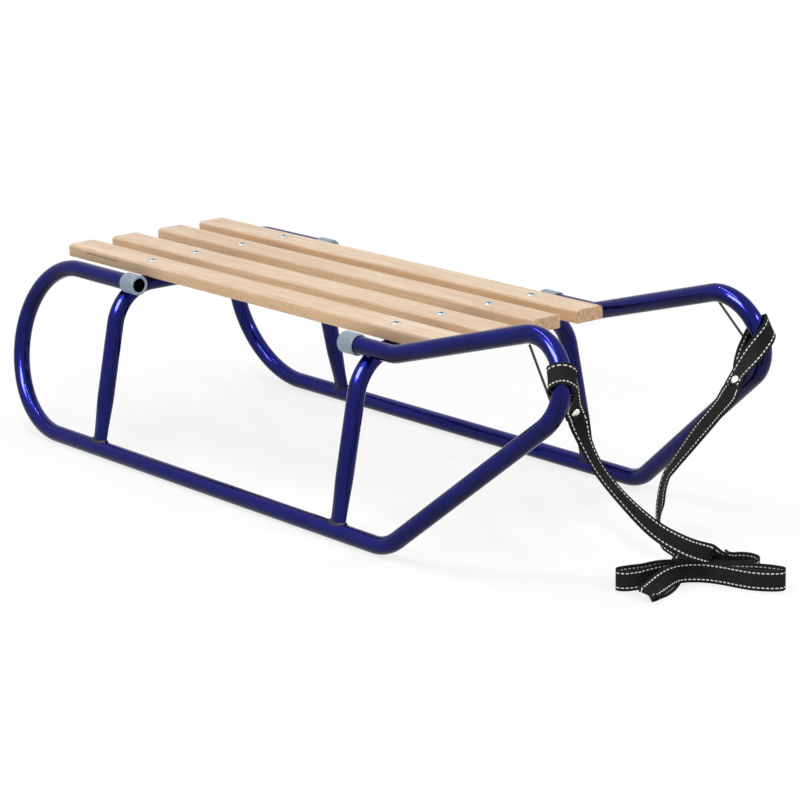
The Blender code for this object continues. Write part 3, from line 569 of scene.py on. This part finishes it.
for number in range(1, 5):
    low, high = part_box("slat_%d" % number)
    low, high = Vector(low), Vector(high)
    bpy.ops.object.select_all(action="DESELECT")
    bpy.ops.mesh.primitive_cube_add(size=1)
    slat = bpy.context.object
    slat.name = "beech_slat_%d" % number
    slat.data.transform(Matrix.Translation((low + high) / 2) @ Matrix.Diagonal((*(high - low), 1)))
    slat.matrix_world = Matrix.Identity(4)
    bpy.ops.object.mode_set(mode="EDIT")
    edit = bmesh.from_edit_mesh(slat.data)
    for rounding, height, segments in ((0.004, high.z, 6), (0.0015, low.z, 3)):
        for edge in edit.edges:
            level_edge = all(abs(corner.co.z - height) < 1e-6 for corner in edge.verts)
            edge.select_set(level_edge and abs(edge.verts[0].co.x - edge.verts[1].co.x) > 0.3)
        bmesh.update_edit_mesh(slat.data)
        bpy.ops.mesh.bevel(offset=rounding, segments=segments)
        edit = bmesh.from_edit_mesh(slat.data)
        for item in (*edit.faces, *edit.edges, *edit.verts):
            item.select_set(False)
    bpy.ops.object.mode_set(mode="OBJECT")
    for along in (REAR_ARCH, FRONT_ARCH):
        bpy.ops.object.select_all(action="DESELECT")
        bpy.ops.mesh.primitive_cylinder_add(vertices=48, radius=HOLE_RADIUS, depth=HOLE_DEPTH,
                                            location=(along, (low.y + high.y) / 2, high.z))
        cut(slat, bpy.context.object, "screw hole")
    soft = slat.modifiers.new("eased ends", "BEVEL")
    soft.width, soft.segments, soft.limit_method, soft.angle_limit = 0.0005, 2, "ANGLE", math.radians(60)
    slat.data.shade_smooth()
    slat.data.set_sharp_from_angle(angle=math.radians(50))
    slat.data.materials.append(beech)
    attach(slat, "root")
    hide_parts("slat_%d" % number)


# Deck screws
# Bright zinc-plated screws with a cross recess; each head stands a little proud of its slat.
zinc, shader, place = finish("blue zinc plate", Metallic=1.0)
feed(shader, "Base Color", place.noise(300, 3).mix((0.26, 0.36, 0.40, 1), (0.62, 0.69, 0.72, 1)))
feed(shader, "Roughness", place.noise(500, 3) * 0.3 + 0.15)
bpy.ops.object.select_all(action="DESELECT")
HEAD_RADIUS, HEAD_DEPTH, HEAD_PROUD = 0.0055, 0.0020, 0.0004
RECESS = (0.0066, 0.0017, 0.0034)
bpy.ops.mesh.primitive_cylinder_add(vertices=40, radius=HEAD_RADIUS, depth=HEAD_DEPTH, location=(0, 0, -0.0008))
screw_head = bpy.context.object
bpy.ops.object.transform_apply(location=True)
rim = screw_head.modifiers.new("rolled rim", "BEVEL")
rim.width, rim.segments, rim.limit_method = 0.0004, 3, "ANGLE"
bpy.ops.object.modifier_apply(modifier=rim.name)
for quarter in (0, 1):
    bpy.ops.object.select_all(action="DESELECT")
    bpy.ops.mesh.primitive_cube_add(size=1)
    bit = bpy.context.object
    bit.data.transform(Matrix.Rotation(quarter * math.pi / 2, 4, "Z") @ Matrix.Diagonal((*RECESS, 1)))
    cut(screw_head, bit, "cross recess")
screw_head.data.materials.clear()
screw_head.data.materials.append(zinc)
# Painted shade: the cross recess faces get a near-black material.
shade, shader, place = finish("screw recess painted shade", Metallic=0.5, Roughness=0.6)
feed(shader, "Base Color", place.noise(300, 2).mix((0.02, 0.025, 0.03, 1), (0.06, 0.07, 0.075, 1)))
screw_head.data.materials.append(shade)
for polygon in screw_head.data.polygons:
    polygon.material_index = 1 if polygon.center.z < -0.0001 and polygon.center.xy.length < 0.0035 else 0
screw_head.data.shade_smooth()
screw_head.data.set_sharp_from_angle(angle=math.radians(40))
screw_turn, SCREW_TURN_STEP = 0.35, 0.65
for place_name in ("rear", "front"):
    for number in range(1, 5):
        node_name = "screw_%s_%d" % (place_name, number)
        low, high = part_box(node_name)
        spot = Vector(((low[0] + high[0]) / 2, (low[1] + high[1]) / 2, high[2] + HEAD_PROUD))
        screw = screw_head.copy()
        screw.data = screw_head.data.copy()
        screw.name = "zinc_" + node_name
        screw.data.transform(Matrix.Translation(spot) @ Matrix.Rotation(screw_turn, 4, "Z"))
        bpy.context.scene.collection.objects.link(screw)
        screw_turn += SCREW_TURN_STEP
        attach(screw, "root")
        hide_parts(node_name)
bpy.data.objects.remove(screw_head)


# Sleeves
# Pale blue-grey plastic sleeves on the open tube ends, with a rounded mouth round a bore in painted shade.
plastic, shader, place = finish("pale grey plastic", Roughness=0.42, Specular_IOR_Level=0.4)
feed(shader, "Base Color", place.noise(90, 3).mix((0.194, 0.254, 0.31, 1), (0.228, 0.292, 0.353, 1)))
feed(shader, "Normal", place.noise(900, 2).bump(0.0002, 0.15))
# Painted shade: the bore's walls and floor get a near-black material.
dark, shader, place = finish("tube bore painted shade", Roughness=0.9, Specular_IOR_Level=0.0)
feed(shader, "Base Color", place.noise(60, 2).mix((0.0006, 0.0006, 0.0008, 1), (0.002, 0.002, 0.0022, 1)))
SLEEVE_SECTION = ((0.0093, 0.0), (0.0103, 0.0), (0.01075, 0.0004), (0.01085, 0.0010), (0.01085, 0.0205),
                  (0.01060, 0.0214), (0.0100, 0.0219), (0.0088, 0.0220), (0.0078, 0.0218), (0.0074, 0.0212),
                  (0.0074, 0.0190), (0.0002, 0.0190))
SLEEVE_LENGTH, BORE_START, BORE_RADIUS = 0.022, 0.0185, 0.0075
REAR_MOUTH, FRONT_MOUTH = REAR_ARCH + 0.0344, FRONT_ARCH - 0.0276
for side, side_name in ((-1, "right"), (1, "left")):
    for place_name, mouth, facing in (("rear", REAR_MOUTH, 1), ("front", FRONT_MOUTH, -1)):
        section = bpy.data.meshes.new("sleeve section")
        section.from_pydata([(radius, 0, height) for radius, height in SLEEVE_SECTION],
                            [(index, index + 1) for index in range(len(SLEEVE_SECTION) - 1)], [])
        sleeve = bpy.data.objects.new("end_sleeve_%s_%s" % (place_name, side_name), section)
        bpy.context.scene.collection.objects.link(sleeve)
        bpy.ops.object.select_all(action="DESELECT")
        sleeve.select_set(True)
        bpy.context.view_layer.objects.active = sleeve
        bpy.ops.object.mode_set(mode="EDIT")
        bpy.ops.mesh.select_all(action="SELECT")
        bpy.ops.mesh.spin(steps=64, angle=2 * math.pi, center=(0, 0, 0), axis=(0, 0, 1))
        bpy.ops.mesh.select_all(action="SELECT")
        bpy.ops.mesh.remove_doubles(threshold=1e-6)
        bpy.ops.mesh.normals_make_consistent(inside=False)
        bpy.ops.object.mode_set(mode="OBJECT")
        sleeve.data.materials.append(plastic)
        sleeve.data.materials.append(dark)
        for polygon in sleeve.data.polygons:
            spot = polygon.center
            polygon.material_index = 1 if spot.z > BORE_START and spot.xy.length < BORE_RADIUS else 0
        sleeve.data.shade_smooth()
        sleeve.data.set_sharp_from_angle(angle=math.radians(55))
        base = in_runner(side, mouth - facing * SLEEVE_LENGTH, RISE)
        sleeve.data.transform(Matrix.Translation(base) @ Matrix.Rotation(facing * math.pi / 2, 4, "Y"))
        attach(sleeve, "root")
        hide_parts("sleeve_%s_%s" % (place_name, side_name))


# Welds
# Each arch foot and shoulder is joined to its runner by a small dull fillet, painted over with the tubes.
weld, shader, place = finish("painted weld", Coat_Weight=0.1, Coat_Roughness=0.3, Specular_IOR_Level=0.15)
burn = place.noise(300, 4, 0.7)
feed(shader, "Base Color", burn.smooth(0.4, 0.65).mix((0.004, 0.004, 0.022, 1), (0.026, 0.026, 0.032, 1)))
feed(shader, "Roughness", burn * 0.4 + 0.3)
feed(shader, "Normal", place.noise(700, 3).bump(0.0008, 0.6))
FILLET_RADIUS, FILLET_SIZE, FILLET_SHAPE = 0.0085, 0.0024, (1.16, 0.66, 0.8)
BEAD_RADIUS, BEAD_SHAPE, BEAD_INWARDS, BEAD_DOWN = 0.0035, (2.4, 0.9, 1.0), 0.0086, 0.0052
for place_name, along in (("rear", REAR_ARCH), ("front", FRONT_ARCH)):
    for side, side_name in ((-1, "right"), (1, "left")):
        bpy.ops.object.select_all(action="DESELECT")
        bpy.ops.mesh.primitive_torus_add(major_segments=48, minor_segments=14,
                                         major_radius=FILLET_RADIUS, minor_radius=FILLET_SIZE)
        foot = bpy.context.object
        foot.name = "weld_foot_%s_%s" % (place_name, side_name)
        lean = Matrix.Rotation(side * LEAN, 4, "X")
        foot.data.transform(Matrix.Diagonal((*FILLET_SHAPE, 1)))
        for corner in foot.data.vertices:
            corner.co.z += math.sqrt(max(TUBE_RADIUS ** 2 - corner.co.y ** 2, 0.0))
        foot.data.transform(Matrix.Translation(in_runner(side, along, 0)) @ lean)
        foot.data.shade_smooth()
        bpy.ops.object.select_all(action="DESELECT")
        bpy.ops.mesh.primitive_uv_sphere_add(segments=24, ring_count=12, radius=BEAD_RADIUS)
        bead = bpy.context.object
        bead.name = "weld_shoulder_%s_%s" % (place_name, side_name)
        top = in_runner(side, along, RISE)
        inner = Vector((along, top.y - side * BEAD_INWARDS, top.z - BEAD_DOWN))
        bead.data.transform(Matrix.Translation(inner) @ Matrix.Diagonal((*BEAD_SHAPE, 1)))
        bead.data.shade_smooth()
        for piece in (foot, bead):
            piece.data.materials.append(weld)
            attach(piece, "root")


# Nose wires
# A thin black wire across the inside of each nose bend keeps the strap's loop at the front.
wire_black, shader, place = finish("black wire", Metallic=0.6)
feed(shader, "Base Color", place.noise(200, 2).mix((0.006, 0.006, 0.008, 1), (0.03, 0.03, 0.035, 1)))
feed(shader, "Roughness", place.noise(300, 2) * 0.3 + 0.25)
for side_name in ("right", "left"):
    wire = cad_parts["nose_wire_" + side_name]
    wire.data.materials.clear()
    wire.data.materials.append(wire_black)


# Studio
# A white floor and a white surround, with narrow panels above and to the sides. The soft box shows only
# in reflections, where it makes the broad white highlights on the bends.
def looked_at(tree):
    """1 for rays from the camera, also by a reflection or through glass, and 0 for the others."""
    rays = tree.nodes.new("ShaderNodeLightPath").outputs
    eye = Shade(tree, rays["Is Camera Ray"])
    return eye.maths("MAXIMUM", eye.maths("MAXIMUM", eye, rays["Is Glossy Ray"]), rays["Is Transmission Ray"])


bpy.ops.object.select_all(action="DESELECT")
bpy.ops.mesh.primitive_plane_add(size=14, location=(0, 0, -0.0002))
floor = bpy.context.object
floor.name = "studio_floor"
white = bpy.data.materials.new("white floor")
white.use_nodes = True
nodes, links = white.node_tree.nodes, white.node_tree.links
shader = nodes["Principled BSDF"]
shader.inputs["Base Color"].default_value = (0.90, 0.90, 0.90, 1)
shader.inputs["Roughness"].default_value = 0.7
glow = nodes.new("ShaderNodeEmission")
glow.inputs["Color"].default_value = (1, 1, 1, 1)
where = Shade(white.node_tree, nodes.new("ShaderNodeTexCoord").outputs["Object"])
far_off = where.node("ShaderNodeVectorMath", {0: where}, out=1, operation="LENGTH")
evenly_lit = far_off.smooth(0.45, 0.95) * 0.22 + 0.78
seen_floor = nodes.new("ShaderNodeMixShader")
feed(seen_floor, 0, looked_at(white.node_tree) * evenly_lit)
links.new(shader.outputs[0], seen_floor.inputs[1])
links.new(glow.outputs[0], seen_floor.inputs[2])
links.new(seen_floor.outputs[0], nodes["Material Output"].inputs["Surface"])
floor.data.materials.append(white)

world = bpy.data.worlds.new("studio")
bpy.context.scene.world = world
world.use_nodes = True
nodes, links = world.node_tree.nodes, world.node_tree.links
nodes["Background"].inputs["Color"].default_value = (1, 1, 1, 1)
nodes["Background"].inputs["Strength"].default_value = 0.50
seen = nodes.new("ShaderNodeBackground")
seen.inputs["Color"].default_value = (1, 1, 1, 1)
seen.inputs["Strength"].default_value = 1.0
blend = nodes.new("ShaderNodeMixShader")
feed(blend, 0, looked_at(world.node_tree))
links.new(nodes["Background"].outputs[0], blend.inputs[1])
links.new(seen.outputs[0], blend.inputs[2])
links.new(blend.outputs[0], nodes["World Output"].inputs["Surface"])

AIM = Vector((0.05, 0, 0.1))
for name, spot, size, power in (("soft box", (0.2, -1.85, 1.7), (1.4, 0.8), 130),
                                ("top panel", (-0.2, -0.5, 2.0), (1.8, 0.05), 20),
                                ("front panel", (1.9, 0.6, 1.4), (0.5, 0.2), 15),
                                ("side panel", (0.6, -2.4, 1.5), (1.6, 0.04), 11)):
    panel = bpy.data.lights.new(name, "AREA")
    panel.shape = "RECTANGLE"
    panel.size, panel.size_y, panel.energy = size[0], size[1], power
    lamp = bpy.data.objects.new(name, panel)
    lamp.location = spot
    lamp.rotation_euler = (AIM - Vector(spot)).to_track_quat("-Z", "Y").to_euler()
    lamp.visible_diffuse = name != "soft box"
    bpy.context.scene.collection.objects.link(lamp)

bpy.context.view_layer.update()
